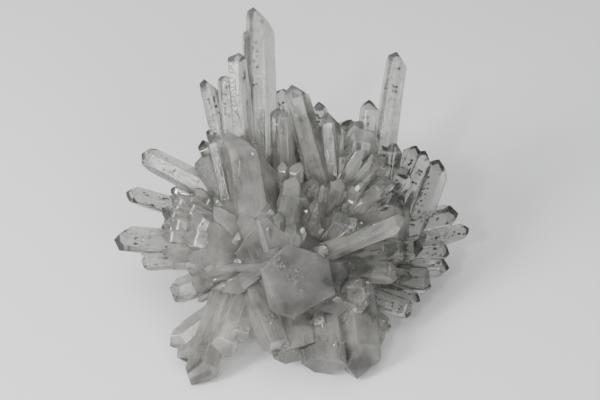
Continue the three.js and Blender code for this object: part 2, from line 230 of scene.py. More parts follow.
# Spires between the tall one and the right one
TOP_MIDDLE = (
    spire((5, 39.2, 14), (12.6, 12, 10), 5.5, 14, 0.35, lop=(0.2, 0)),
    spire((2.4, 39.2, 9), (6, 14, 6), 3.2, 0, 0.9, blunt=0.3),
    spire((3.2, 33.2, 15), (4, 12, 12), 3, 15, 0.5),
    spire((1.4, 34, 11), (2, 12, 8), 3.6, 5, 0.5),
    spire((11.6, 35.8, 8), (13, 12, 5), 3.6, 0, 0.7),
    spire((13.6, 32.8, 13), (15.6, 8, 10), 4.2, 25, 0.5, lop=(0.2, 0)),
    spire((16.4, 30, 10), (17, 10, 7), 4, 10, 0.5),
    spire((2.9, 20.8, 19), (4.4, 8, 14), 3, 10, 0.5),
    spire((7, 20.8, 19), (5.4, 8, 14), 3.4, 30, 0.5, lop=(-0.3, 0)),
    spire((6, 17.4, 21), (2, 1, 16), 6.6, 15, 0.3, lop=(0.3, 0)),
)

# The right spire and the blocks at its foot
TOP_RIGHT = (
    spire((30.4, 48, 7), (25.2, 12, 5), 4.8, 20, 0.6, lop=(0.26, 0)),
    spire((29.4, 27, 7), (25.6, 8, 6), 5.4, 5, 0.8, blunt=0.4),
    spire((23.9, 36.4, 7), (22, 10, 6), 4.3, 0, 0.7, lop=(0.2, 0)),
    spire((19.2, 33.6, 5), (17, 10, 4), 7.6, 15, 0.8, blunt=0.7),
    spire((22, 31, 9), (13.4, 21, 8), 3, 0, 0.5),
    spire((23.2, 30.2, 11), (18, 6, 9), 6.8, 5, 0.5, blunt=0.5),
    spire((18.8, 24.6, 13), (16, 8, 10), 4.4, 38, 0.5),
    spire((26.5, 22.6, 15), (14, 10, 12), 4.4, 5, 0.4),
    spire((27.8, 17.4, 16), (15, 7, 13), 2.4, 0, 0.4),
    spire((29.4, 16.4, 15), (17, 6, 13), 2, 25, 0.5),
)

# Crystals that point to the left
LEFT = (
    spire((-32.2, 23.4, 2), (-4, 9, 8), 5.2, 5, 0.8),
    spire((-36, 13.8, 3), (-6, 5, 7), 4.3, 20, 0.8, lop=(0, 0.1)),
    spire((-24.4, 14.6, 8), (-12, 10, 9), 2.2, 0, 0.8),
    spire((-26.6, 9.4, 7), (-6, 4, 8), 4.4, 12, 0.5),
    spire((-27.4, 6.4, 5), (-6, 1, 6), 5, 0, 0.5, blunt=0.3),
    spire((-39, 2.2, 3), (-4, -1, 6), 6.4, 25, 0.9, lop=(0.1, 0)),
    spire((-32, -3.4, 6), (-8, -1, 8), 4, 0, 0.7, blunt=0.3),
    spire((-24.6, -10.6, 12), (-2, -3, 9), 5.8, 10, 0.4, blunt=0.4),
)

# Crystals that point to the right
RIGHT_SIDE = (
    spire((31.4, 7.6, 19.4), (8, -1.6, 15.4), 4.3, 24, 0.1, lop=(0.1, 0)),
    spire((49.2, 4.8, 0), (16, -6, 4), 3.3, 0, 0.7),
    spire((41.4, 22, 2), (33, 0, 3), 6.2, 10, 0.9, lop=(0.1, 0)),
    spire((35.8, 25.4, 3), (25, 2, 5), 4.6, 0, 0.9),
    spire((38, 24.2, 3), (28, 2, 5), 4, 20, 0.9),
    spire((33, 20, 6), (22, 2, 8), 6, 10, 0.8),
    spire((46.4, 8.6, 1), (26, 4, 2), 6.4, 15, 0.8, lop=(0.2, 0)),
    spire((33, 0.6, 15), (8, -1.6, 13), 6.2, 0, 0.6, blunt=0.6, flat=0.8),
    spire((31, -5.2, 15.2), (6, -3.4, 13), 6.4, 6, 0.5, blunt=0.5, flat=0.8),
    spire((36.8, 0.4, 8), (10, -2, 8), 4.8, 10, 0.8),
    spire((44.6, -0.4, 2), (14, -3, 4), 5, 0, 0.9, blunt=0.4),
    spire((43.8, -4.8, 3), (12, -4, 4), 4.6, 25, 0.9),
    spire((40.4, -8, 6), (10, -4, 6), 6.4, 5, 0.9, blunt=0.5),
    spire((36, -12.4, 9), (12, -4, 8), 3.6, 20, 0.7),
    spire((34.7, -14.8, 10), (10, -6, 8), 4.4, 0, 0.8, blunt=0.4),
    spire((28.6, -19.4, 14), (8, -6, 10), 5, 10, 0.8, blunt=0.3),
)

# Crystals that point down to the front. Two of them reach the resting plane and act as feet.
FRONT_LOW = (
    spire((-17.8, -30.4, 21.8), (-9.6, -6, 13.6), 7.6, 26, 0.2, lop=(-0.3, 0)),
    spire((-23.4, -22, 17.6), (-13, -14.6, 15.6), 5.4, 10, 0.2, lop=(-0.2, 0)),
    spire((-21.4, -25.4, 18.4), (-13, -16, 15.6), 4.6, 20, 0.2, blunt=0.3),
    spire((-12.6, -24.8, 21.2), (-5, -6, 14), 7.4, 12, 0.25, blunt=0.5),
    spire((-7.4, -21.8, 21), (-3, -6, 14), 5.4, 8, 0.25, blunt=0.5),
    spire((3, -24.2, 24.4), (-4.6, -7.4, 16), 6.2, 20, 0.2, blunt=0.7),
    spire((6.8, -28.6, 24.2), (5, -11, 14), 13, 0, 0.2, blunt=0.9, flat=0.6),
    spire((13.4, -30.4, 24), (11, -11, 14), 11, 6, 0.2, blunt=0.8, flat=0.7),
    spire((20.2, -29, 21), (18.6, -13, 13), 9.6, 26, 0.2, lop=(-0.2, 0)),
    spire((24, -24.4, 17), (20, -10, 11), 7.4, 8, 0.3, blunt=0.5),
)

# Crystals that point out at the front. The widest of them ends in one large blunt face.
FRONT = (
    spire((6.2, -8.6, 32.4), (6.6, -5, 8), 15.6, 12, 0.15, blunt=1, plain=True),
    spire((13.6, 0.6, 23), (9, -1, 15), 2.8, 30, 0.5),
    spire((4.2, -1.6, 24.4), (-2, -4.4, 20), 3, 5, 0.5),
    spire((24, -11, 17), (10, -4, 10), 7, 8, 0.6),
    spire((25, 9, 12), (12, 2, 6), 5, 16, 0.4),
)

# Flat blades that fan out to the left in two tiers
FRONT_LEFT = (
    spire((-24, 13, 11), (-4, 2, 13), 5.4, 12, 0.3, flat=0.6, point=STEEP),
    spire((-20.6, 11, 14.4), (-3, 2, 15), 4.6, 4, 0.3, flat=0.6, point=STEEP),
    spire((-24.4, 7, 11.6), (-3, 1, 16), 5, 6, 0.3, flat=0.6, point=STEEP),
    spire((-26, 3.6, 12), (-3, 0, 16), 5, 2, 0.3, lop=(0.2, 0), flat=0.6, point=STEEP),
    spire((-25.6, -0.2, 13), (-3, -1.4, 16), 5.4, 10, 0.3, flat=0.6, point=STEEP),
    spire((-19.4, -8, 15.6), (-2, -3, 15), 6, 8, 0.3, blunt=0.4, flat=0.7, point=STEEP),
    spire((-18.6, 8.4, 15.4), (0, -3, 18), 6.6, 3, 0.2, lop=(-0.3, 0), flat=0.5, point=STEEP),
    spire((-20.4, 3.6, 15.6), (0, -2.4, 19), 7, -4, 0.2, flat=0.5, point=STEEP),
    spire((-19.6, -1.4, 16.4), (0, -2.4, 19), 7.2, 5, 0.2, lop=(0.3, 0), flat=0.5, point=STEEP),
    spire((-16.4, -6, 17.4), (0, -2, 19), 7, -3, 0.15, flat=0.5, point=STEEP),
    spire((-10.8, -9.4, 19.4), (0, -1, 18), 7, 6, 0.2, lop=(-0.2, 0), flat=0.6, point=STEEP),
    spire((-13, 10.4, 17.4), (0, -4, 17), 7, -3, 0.2, lop=(0.2, 0), flat=0.6, point=STEEP),
    spire((-6.6, 9.4, 20), (-1, -5, 18), 6.4, 2, 0.2, lop=(0.2, 0), flat=0.6, point=STEEP),
)

# Thin crystals that fan upwards to the right of the middle
FRONT_FAN = (
    spire((-0.6, 11.6, 20.4), (0.6, -4, 15), 4.4, 42, 0.4),
    spire((2.2, 9.2, 21.6), (2.6, -4, 16), 3.4, 22, 0.4, lop=(-0.2, 0)),
    spire((4.7, 15, 19.6), (6, 1, 14), 3.2, 35, 0.5),
    spire((5.8, 6.6, 23), (5, -3, 17), 4, 50, 0.4),
    spire((10, 17, 18.6), (8.6, 2, 13), 3.8, 38, 0.5),
    spire((11.2, 11.6, 22.4), (8, 2, 14), 3.2, 42, 0.4),
    spire((16.4, 17, 16.8), (11.6, 1, 12), 4, 4, 0.5),
    spire((17.6, 9.6, 20), (12, 0, 12), 5, 0, 0.6, lop=(0.2, 0)),
    spire((20.4, 7.6, 19.4), (12, 0, 14), 3.4, 25, 0.5),
    spire((21, 15.4, 16), (13, 1, 11), 3.8, 18, 0.5),
)

HAND_PLACED = (
    TOP_LEFT + TOP_MIDDLE + TOP_RIGHT + LEFT + RIGHT_SIDE + FRONT_LOW + FRONT
    + FRONT_LEFT + FRONT_FAN
)

# Crystals in place of the part's small lump at the front right, and that lump's seed
CAP = (
    spire((20.4, -6.6, 21.4), (19, -14, 12), 5.6, 12, 0.3, lop=(0.2, 0), blunt=0.4),
    spire((23.4, -8.6, 20), (18, -13, 13), 4.6, 30, 0.4, blunt=0.3),
    spire((18.2, -7.4, 20.6), (18.4, -14, 12), 4.0, 5, 0.3),
    spire((22.2, -11.4, 20.6), (18, -14, 12), 5.2, 20, 0.3, blunt=0.5),
    spire((18.6, -11, 20.8), (18, -14, 11), 5.0, 0, 0.25, blunt=0.4),
)
CAP_LUMP = 11

# The crystals whose roots needles spread from
NEEDLE_ROWS = FRONT_LEFT + FRONT_FAN + FRONT[4:] + TOP_RIGHT[7:]

# The milky mass that the crystals grow out of: middle, size and seed. The last is its flat foot.
LUMPS = (
    ((3, 1, 5), (20, 14, 13.4), 5),
    ((18, 5, 4), (17, 13, 12), 6),
    ((-5, 5, 6), (15, 13, 12), 7),
    ((7, -8, 11), (15, 11, 10), 8),
    ((-9, 1, 10), (12.5, 9.4, 8.4), 10),
    ((20.6, -9, 16.6), (4.8, 4, 4.4), 11),
    ((6, 1.6, -6.5), (16, 14, 9.6), 9),
)

# The back spray, on a spiral of directions that don't face the front
SPIRAL_COUNT = 98
LOWEST_LIFT = -0.6
FRONT_LIMIT = 0.16
BACK_REACH = (32, 42)
BACK_WIDTH = (4, 6.8)
BACK_BLUNT_SHARE = 0.4
BACK_BLUNT = 0.4
BACK_ROOT = np.array([4, 3, 4])
BACK_ROOT_SHARE = 0.2
BACK_CLEAR = (0.45, 0.9)
BACK_CLEAR_STEP = 0.618
HIDDEN_MEAN = 30
HIDDEN_MORE = 8
HIDDEN_TOWARDS = math.radians(35)
LOWEST_TIP = 1.5
BACK_SEED = 77
BACK_FIRST_SEED = 200


def place(point):
    """A (right, up, near) place as millimetres in the row frame."""
    return HEART + np.asarray(point, float) @ FACE_AXES


def unit(vector):
    return vector / np.linalg.norm(vector)


def mix(low, high, share):
    return low + (high - low) * share


def part_numbers(seed):
    """The same repeatable source of numbers from 0 to 1 that the part uses."""
    state = seed * SEED_FACTOR % NUMBER_LIMIT
    while True:
        state = (state * NUMBER_FACTOR + NUMBER_STEP) % NUMBER_LIMIT
        yield state / NUMBER_LIMIT


def corners_inside(normals, reaches):
    """The corners of the body inside all the planes."""
    triples = np.array(list(itertools.combinations(range(len(reaches)), 3)))
    matrices = normals[triples]
    solid = np.abs(np.linalg.det(matrices)) > LEAST_DETERMINANT
    points = np.linalg.solve(matrices[solid], reaches[triples[solid]][..., None])[..., 0]
    points = points[(points @ normals.T <= reaches + INSIDE_SLACK).all(axis=1)]
    kept = []
    for point in points:
        if all(abs(point - other).max() > CORNER_MERGE for other in kept):
            kept.append(point)
    return kept


def crystal_planes(row, numbers):
    """Normals, reaches and kinds of a crystal's faces, with its axis and its tip."""
    end, start = place(row["tip"]), place(row["root"])
    axis = unit(end - start)
    towards = unit(NEAR - axis * (NEAR @ axis))
    across = np.cross(towards, axis)
    half = row["width"] / 2
    normals, reaches, kinds = [], [], []
    for side in range(SIDES):
        angle = math.radians(row["roll"] + side * SIDE_TURN)
        out = towards * math.cos(angle) + across * math.sin(angle)
        thin = 1 + (row["flat"] - 1) * abs(math.cos(angle))
        shift = 1 - row["lop"][0] * math.sin(angle) - row["lop"][1] * math.cos(angle)
        distance = half * thin * shift * mix(1 - UNEVEN, 1 + UNEVEN, next(numbers))
        wall = out * math.cos(TAPER) + axis * math.sin(TAPER)
        normals.append(wall)
        reaches.append(wall @ (end - axis * row["width"]) + distance)
        kinds.append(WALL)
        rhomb = out * math.sin(row["point"]) + axis * math.cos(row["point"])
        step = mix(*(SMALL_END_STEP if side % 2 else LARGE_END_STEP), next(numbers))
        normals.append(rhomb)
        reaches.append(rhomb @ end + half * step)
        kinds.append(END)
    normals.append(-axis)
    reaches.append(-axis @ start + row["depth"])
    kinds.append(ROOT)
    if row["blunt"] > 0:
        lean_near = mix(-BREAK_LEAN, BREAK_LEAN, next(numbers))
        lean_across = mix(-BREAK_LEAN, BREAK_LEAN, next(numbers))
        slope = unit(axis + towards * lean_near + across * lean_across)
        normals.append(slope)
        reaches.append(slope @ end - half * row["blunt"])
        kinds.append(BROKEN)
    return np.array(normals), np.array(reaches), kinds, axis, end


def worn(normals, reaches, kinds, wear):
    """Adds a plane for each edge that takes a narrow flat off it."""
    corners = np.array(corners_inside(normals, reaches))
    near = np.abs(corners @ normals.T - reaches) < EDGE_SLACK
    flats, flat_reaches = [], []
    for a, b in itertools.combinations(range(len(reaches)), 2):
        ends = corners[near[:, a] & near[:, b]]
        buried = ROOT in (kinds[a], kinds[b])
        if buried or len(ends) < 2 or np.ptp(ends, axis=0).max() < LEAST_EDGE:
            continue
        flats.append(unit(normals[a] + normals[b]))
        flat_reaches.append(flats[-1] @ ends[0] - wear)
    if not flats:
        return normals, reaches, kinds
    return (
        np.vstack([normals, flats]), np.concatenate([reaches, flat_reaches]),
        kinds + [EDGE] * len(flats),
    )


def lump_planes(middle, size, numbers):
    """Normals and reaches of a rough lump that touches an ellipsoid."""
    normals, reaches = [], []
    for index in range(LUMP_FACES):
        height = 1 - 2 * (index + 0.5) / LUMP_FACES
        turn = index * GOLDEN_TURN + next(numbers)
        ring = math.sqrt(1 - height ** 2)
        normal = np.array([ring * math.cos(turn), ring * math.sin(turn), height])
        rough = mix(1 - LUMP_ROUGHNESS, 1 + LUMP_ROUGHNESS, next(numbers))
        normals.append(normal)
        reaches.append(normal @ place(middle) + np.linalg.norm(normal * size) * rough)
    return np.array(normals), np.array(reaches)


def back_spray():
    """Rows and seeds for the crystals behind the heart, as the part has them."""
    numbers = part_numbers(BACK_SEED)
    for index in range(SPIRAL_COUNT):
        lift = mix(1, LOWEST_LIFT, (index + 0.5) / SPIRAL_COUNT)
        turn = index * GOLDEN_TURN
        level = math.sqrt(1 - lift ** 2)
        way = np.array([level * math.cos(turn), level * math.sin(turn), lift])
        full = mix(*BACK_REACH, next(numbers))
        width = mix(*BACK_WIDTH, next(numbers))
        roll = SIDE_TURN * next(numbers)
        blunt = BACK_BLUNT if next(numbers) < BACK_BLUNT_SHARE else 0.0
        seen = FACE_AXES @ way
        if seen[2] > FRONT_LIMIT:
            continue
        side = math.atan2(seen[1], seen[0]) - HIDDEN_TOWARDS
        hidden = (HIDDEN_MEAN + HIDDEN_MORE * math.cos(side)) / math.hypot(seen[0], seen[1])
        floor = (HEART[2] - LOWEST_TIP) / -lift if lift < 0 else full
        tip = seen * min(full, hidden, floor)
        root = tip * BACK_ROOT_SHARE + BACK_ROOT
        clear = mix(*BACK_CLEAR, (index * BACK_CLEAR_STEP) % 1)
        yield spire(tip, root, width, roll, clear, blunt=blunt), BACK_FIRST_SEED + index


def growth_layers(row, count, rng):
    """Thinner crystals that grew along one crystal and stand a little out of its sides."""
    length = np.linalg.norm(row["tip"] - row["root"])
    axis = (row["tip"] - row["root"]) / length
    first = unit(np.cross(axis, LAYER_ASIDE))
    second = np.cross(axis, first)
    for _ in range(0 if row["plain"] else count):
        turn = rng.uniform(0, 2 * math.pi)
        share = rng.uniform(*LAYER_SHARE)
        proud = rng.uniform(*LAYER_PROUD)
        out = first * math.cos(turn) + second * math.sin(turn)
        move = out * row["width"] / 2 * (1 - share + proud)
        back = rng.uniform(*LAYER_BACK) * row["width"] + rng.uniform(*LAYER_SHORTER) * length
        blunt = LAYER_BLUNT if rng.random() < LAYER_BLUNT_CHANCE else 0.0
        yield dict(
            row, tip=row["tip"] + move - axis * back, root=row["root"] + move * LAYER_ROOT_MOVE,
            width=row["width"] * share, lop=(0, 0), blunt=blunt,
        )


def object_from(bm, name):
    mesh = bpy.data.meshes.new(name)
    bm.to_mesh(mesh)
    bm.free()
    piece = bpy.data.objects.new(name, mesh)
    bpy.context.scene.collection.objects.link(piece)
    return piece


def combine(piece, other, operation):
    """Joins other to piece, or cuts piece with it, and removes other."""
    modifier = piece.modifiers.new("combine", "BOOLEAN")
    modifier.operation = operation
    modifier.solver = "MANIFOLD"
    modifier.object = other
    graph = bpy.context.evaluated_depsgraph_get()
    mesh = bpy.data.meshes.new_from_object(piece.evaluated_get(graph))
    piece.modifiers.clear()
    old = (piece.data, other.data)
    piece.data = mesh
    bpy.data.objects.remove(other)
    for item in old:
        bpy.data.meshes.remove(item)
    return piece


class Growth:
    """Crystals as they are added, and what their faces keep of them in the joined body."""

    def __init__(self, seed):
        self.rng = np.random.default_rng(seed)
        self.crystals = []
        self.pieces = []

    def numbers(self):
        """An endless source of numbers from 0 to 1."""
        while True:
            yield self.rng.random()

    def add(self, normals, reaches, kinds, axis, end, clear):
        """Builds the body inside the planes as a piece of its own."""
        corners = corners_inside(normals, reaches)
        if len(corners) < 4:
            return
        bm = bmesh.new()
        for corner in corners:
            bm.verts.new(corner)
        found = bmesh.ops.convex_hull(bm, input=bm.verts)
        spare = {item for item in found["geom_interior"] + found["geom_unused"]
                 if isinstance(item, bmesh.types.BMVert)}
        bmesh.ops.delete(bm, geom=list(spare), context="VERTS")
        bmesh.ops.recalc_face_normals(bm, faces=bm.faces)
        layer = bm.faces.layers.int.new("who")
        for face in bm.faces:
            plane = int(np.argmax(normals @ np.array(face.normal)))
            face[layer] = len(self.crystals) * len(KINDS) + kinds[plane]
        self.crystals.append((axis, axis @ end, clear))
        self.pieces.append(object_from(bm, "crystal"))

    def add_crystal(self, row, numbers=None):
        normals, reaches, kinds, axis, end = crystal_planes(row, numbers or self.numbers())
        wear = min(WEAR, WEAR_SHARE * row["width"])
        normals, reaches, kinds = worn(normals, reaches, kinds, wear)
        self.add(normals, reaches, kinds, axis, end, row["clear"])

    def add_lump(self, middle, size, seed):
        normals, reaches = lump_planes(middle, size, part_numbers(seed))
        up = np.array([0.0, 0.0, 1.0])
        self.add(normals, reaches, [BROKEN] * len(reaches), up, place(middle), LUMP_CLEAR)

    def sparkle(self, whole):
        """Plants small crystals on the joined body, in the patches that the camera sees."""
        eye = Vector(place(CAMERA_PLACE))
        bm = bmesh.new()
        bm.from_mesh(whole.data)
        tree = BVHTree.FromBMesh(bm)
        bm.free()
        for (right, up), radius, count in SPARKLES:
            for _ in range(count):
                across, along = self.rng.normal(size=2) * radius / 2
                aim = Vector(place((right + across, up + along, 0)))
                hit, normal = tree.ray_cast(eye, (aim - eye).normalized())[:2]
                if hit is None:
                    continue
                width = self.rng.uniform(*SPARKLE_WIDTH)
                axis = unit(np.array(normal) + self.rng.normal(size=3) * SPARKLE_LEAN)
                foot = np.array(hit) - axis * width
                tip = np.array(hit) + axis * width * self.rng.uniform(*SPARKLE_TALL)
                self.add_crystal(spire(
                    FACE_AXES @ (tip - HEART), FACE_AXES @ (foot - HEART), width,
                    self.rng.uniform(0, SIDE_TURN), 0.0, depth=0,
                ))

    def join(self):
        """Joins the pieces in pairs, then the pairs, until one is left."""
        while len(self.pieces) > 1:
            pairs = zip(self.pieces[::2], self.pieces[1::2])
            joined = [combine(a, b, "UNION") for a, b in pairs]
            if len(self.pieces) % 2:
                joined.append(self.pieces[-1])
            self.pieces = joined
        return self.pieces[0]


def needles(row, count, rng):
    """Thin crystals that spread from one crystal's root, shorter than it."""
    length = np.linalg.norm(row["tip"] - row["root"])
    axis = (row["tip"] - row["root"]) / length
    for _ in range(count):
        side = unit(np.cross(axis, rng.normal(size=3)) * NEEDLE_SPREAD)
        lean = rng.uniform(*NEEDLE_LEAN)
        way = axis * math.cos(lean) + side * math.sin(lean)
        width = rng.uniform(*NEEDLE_WIDTH)
        root = row["root"] + side * rng.uniform(*NEEDLE_OFFSET) * row["width"]
        tip = root + way * length * rng.uniform(*NEEDLE_LENGTH)
        clear = row["clear"] * rng.uniform(*NEEDLE_CLEAR)
        flat = rng.uniform(*NEEDLE_FLAT)
        point = rng.uniform(END_FACE_ANGLE, NEEDLE_POINT)
        roll = rng.uniform(0, SIDE_TURN)
        yield spire(tip, root, width, roll, clear, flat=flat, point=point)


def dark_flecks(rows, count, rng):
    """Small dark flecks inside the clear ends, in loose lines along each crystal."""
    bm = bmesh.new()
    for row in rows:
        end, start = place(row["tip"]), place(row["root"])
        axis = unit(end - start)
        first = unit(np.cross(axis, NEAR))
        second = np.cross(axis, first)
        reach = min(FLECK_REACH * row["width"], FLECK_LONGEST * np.linalg.norm(end - start))
        offsets = rng.uniform(-FLECK_LINE_OFFSET, FLECK_LINE_OFFSET, size=(FLECK_LINES, 2))
        lines = offsets * row["width"]
        for index in range(count):
            loose = rng.normal(size=2) * FLECK_LINE_SPREAD * row["width"]
            line = lines[index % FLECK_LINES] + loose
            back = rng.uniform(FLECK_START * row["width"], reach)
            at = end - axis * back + first * line[0] + second * line[1] * row["flat"]
            turn = Matrix.Rotation(rng.uniform(0, math.pi), 4, Vector(rng.normal(size=3)))
            size = rng.uniform(*FLECK_SIZE) * rng.uniform(*FLECK_STRETCH)
            matrix = Matrix.Translation(at) @ turn @ Matrix.Diagonal((*size, 1))
            bmesh.ops.create_icosphere(bm, subdivisions=1, radius=1, matrix=matrix)
    return object_from(bm, "flecks")


def cut_to_frame(whole):
    """Cuts the body flat on the resting plane and to the part's box."""
    bm = bmesh.new()
    size = Matrix.Diagonal((*(BOX_HIGH - BOX_LOW), 1))
    bmesh.ops.create_cube(bm, size=1, matrix=Matrix.Translation((BOX_HIGH + BOX_LOW) / 2) @ size)
    layer = bm.faces.layers.int.new("who")
    for face in bm.faces:
        face[layer] = BROKEN
    return combine(whole, object_from(bm, "box"), "INTERSECT")


def keep_outer_skin(mesh):
    """Drops closed spaces between crystals: only the skin of the highest point stays."""
    bm = bmesh.new()
    bm.from_mesh(mesh)
    top = max(bm.verts, key=lambda vert: vert.co.z)
    reached, waiting = {top}, [top]
    while waiting:
        for edge in waiting.pop().link_edges:
            for vert in edge.verts:
                if vert not in reached:
                    reached.add(vert)
                    waiting.append(vert)
    bmesh.ops.delete(bm, geom=[v for v in bm.verts if v not in reached], context="VERTS")
    bm.to_mesh(mesh)
    bm.free()


def refine(mesh, longest):
    """Splits long edges near the heart, so that the faces there can bend."""
    bm = bmesh.new()
    bm.from_mesh(mesh)
    middle = 2 * Vector(HEART)
    for _ in range(REFINE_ROUNDS):
        long_edges = [
            edge for edge in bm.edges if edge.calc_length() > longest
            and (edge.verts[0].co + edge.verts[1].co - middle).length < 2 * BEND_END
        ]
        bmesh.ops.subdivide_edges(bm, edges=long_edges, cuts=1)
        bmesh.ops.triangulate(bm, faces=[face for face in bm.faces if len(face.verts) > 3])
    bm.to_mesh(mesh)
    bm.free()


def weather(mesh):
    """Bends faces and edges a little, more at the milky heart and most where they are broken."""
    noise.seed_set(NOISE_SEED)
    who = mesh.attributes["who"].data
    broken = set()
    for face in mesh.polygons:
        if who[face.index].value % len(KINDS) == BROKEN:
            broken.update(face.vertices)
    for vert in mesh.vertices:
        spot = vert.co.copy()
        if spot.z < PLANE_SLACK:
            continue
        away = np.linalg.norm(np.array(spot) - HEART)
        milky = min(max((BEND_END - away) / BEND_FADE, 0), 1)
        move = noise.noise_vector(spot / BEND_LENGTH) * mix(*BEND, milky)
        move += noise.noise_vector(spot / RIPPLE_LENGTH) * mix(*RIPPLE, milky)
        if vert.index in broken:
            move += noise.noise_vector(spot / CHIP_LENGTH) * CHIP
        vert.co = np.clip(np.array(spot + move), BOX_LOW, BOX_HIGH)


def write_face_data(mesh, crystals):
    """Gives each face its crystal's axis, tip, clearness and chance, and its own kind."""
    count = len(mesh.polygons)
    who = np.zeros(count, np.int32)
    mesh.attributes["who"].data.foreach_get("value", who)
    kinds, owner = who % len(KINDS), who // len(KINDS)
    axes = np.array([item[0] for item in crystals])[owner]
    values = {
        "tip_reach": np.array([item[1] for item in crystals])[owner] * MM,
        "clear": np.array([item[2] for item in crystals])[owner],
        "chance": np.random.default_rng(CHANCE_SEED).random(len(crystals))[owner],
        "wall": kinds == WALL,
        "edge": kinds == EDGE,
    }
    attribute = mesh.attributes.new("axis", "FLOAT_VECTOR", "FACE")
    attribute.data.foreach_set("vector", axes.astype(np.float32).ravel())
    for name, value in values.items():
        attribute = mesh.attributes.new(name, "FLOAT", "FACE")
        attribute.data.foreach_set("value", value.astype(np.float32))
    mesh.attributes.remove(mesh.attributes["who"])


class QuartzForm(PropertyGroup):
    layers: IntProperty(
        name="Growth Layers", description="Thin crystals grown along each crystal",
        default=4, min=0, max=8,
    )
    bend_step: FloatProperty(
        name="Bend Step", description="Longest edge in the bent surface", default=0.0014,
        min=0.0005, unit="LENGTH",
    )
    needles: IntProperty(
        name="Needles", description="Thin needles that spread from each front crystal's root",
        default=7, min=0, max=12,
    )
    seed: IntProperty(name="Seed", description="Changes the small details", default=4)
    flecks: IntProperty(
        name="Flecks", description="Flecks inside each clear crystal", default=18, min=0, max=60,
    )


class QuartzLook(PropertyGroup):
    milk_color: FloatVectorProperty(
        name="Milk", description="Colour of the milky quartz", subtype="COLOR",
        default=(0.70, 0.69, 0.66), min=0, max=1,
    )
    clear_color: FloatVectorProperty(
        name="Clear", description="Colour of the clear quartz", subtype="COLOR",
        default=(0.60, 0.60, 0.58), min=0, max=1,
    )
    iron_color: FloatVectorProperty(
        name="Iron", description="Colour of the faint iron stain", subtype="COLOR",
        default=(0.80, 0.62, 0.40), min=0, max=1,
    )
    depth_color: FloatVectorProperty(
        name="Depth", description="Colour that light takes on inside", subtype="COLOR",
        default=(0.64, 0.64, 0.60), min=0, max=1,
    )
    absorption: FloatProperty(
        name="Absorption", description="How strongly light is held back inside",
        default=66.0, min=0,
    )
    fleck_color: FloatVectorProperty(
        name="Flecks", description="Colour of the dark flecks", subtype="COLOR",
        default=(0.06, 0.06, 0.055), min=0, max=1,
    )
    milky_pass: FloatProperty(
        name="Milky Pass", description="Share of light that passes into milky quartz",
        default=0.68, min=0, max=1, subtype="FACTOR",
    )
    clear_pass: FloatProperty(
        name="Clear Pass", description="Share of light that passes into clear quartz",
        default=0.97, min=0, max=1, subtype="FACTOR",
    )
    clouding: FloatProperty(
        name="Clouding", description="How much milky clouds vary", default=2.6, min=0,
    )
    wisps: FloatProperty(
        name="Wisps", description="How much lengthwise wisps show inside", default=1.8, min=0,
    )
    milk_roughness: FloatProperty(
        name="Milky Roughness", description="Roughness of milky faces",
        default=0.14, min=0.03, max=1, subtype="FACTOR",
    )
    glow: FloatProperty(
        name="Glow", description="How far light spreads under milky faces",
        default=0.003, min=0, unit="LENGTH",
    )
    clear_radius: FloatProperty(
        name="Clear Radius", description="Distance from the heart where crystals are clear",
        default=0.034, min=0, unit="LENGTH",
    )
    milk_radius: FloatProperty(
        name="Milky Radius", description="Distance from the heart where crystals turn milky",
        default=0.018, min=0, unit="LENGTH",
    )


class QuartzStage(PropertyGroup):
    floor_color: FloatVectorProperty(
        name="Floor", description="Colour of the floor", subtype="COLOR",
        default=(0.8, 0.8, 0.8), min=0, max=1,
    )
    light: FloatProperty(
        name="Light", description="Strength of the studio lights", default=1.0, min=0,
    )
    sky: FloatProperty(
        name="Sky", description="Strength of the even light around", default=0.35, min=0,
    )


class NodeSheet:
    """A material's nodes, with short ways to add and link them."""

    def __init__(self, name):
        self.material = bpy.data.materials.new(name)
        self.material.use_nodes = True
        self.tree = self.material.node_tree
        self.tree.nodes.clear()

    def link(self, source, target):
        self.tree.links.new(source, target)

    def add(self, kind, inputs=None, **settings):
        """Adds a node. Inputs are sockets to link from, or values."""
        made = self.tree.nodes.new(kind)
        for key, value in settings.items():
            setattr(made, key, value)
        for key, value in (inputs or {}).items():
            if isinstance(value, bpy.types.NodeSocket):
                self.link(value, made.inputs[key])
            else:
                made.inputs[key].default_value = value
        return made

    def math(self, operation, *values):
        return self.add("ShaderNodeMath", dict(enumerate(values)), operation=operation).outputs[0]

    def attribute(self, name, output="Fac"):
        return self.add("ShaderNodeAttribute", attribute_name=name).outputs[output]

    def noise(self, vector, scale, detail, roughness=0.5, **settings):
        inputs = {"Vector": vector, "Scale": scale, "Detail": detail, "Roughness": roughness}
        return self.add("ShaderNodeTexNoise", inputs, **settings).outputs["Fac"]

    def between(self, value, from_range, to_range=(0.0, 1.0), smooth=False):
        inputs = {
            "Value": value, "From Min": from_range[0], "From Max": from_range[1],
            "To Min": to_range[0], "To Max": to_range[1],
        }
        kind = "SMOOTHSTEP" if smooth else "LINEAR"
        made = self.add("ShaderNodeMapRange", inputs, interpolation_type=kind)
        return made.outputs[0]

    def blend(self, share, first, second):
        made = self.add("ShaderNodeMix", {"Factor": share}, data_type="RGBA")
        for socket, value in ((made.inputs[6], first), (made.inputs[7], second)):
            if isinstance(value, bpy.types.NodeSocket):
                self.link(value, socket)
            else:
                socket.default_value = (*value, 1)
        return made.outputs[2]

    def distance(self, vector, point):
        inputs = {0: vector, 1: Vector(point)}
        return self.add("ShaderNodeVectorMath", inputs, operation="DISTANCE").outputs["Value"]


# Faint iron stains: place, radius in metres, strength
IRON_STAINS = (
    ((16.2, 2.6, 20), 0.0026, 0.5),
    ((-26.4, 0.4, 13), 0.004, 0.22),
)

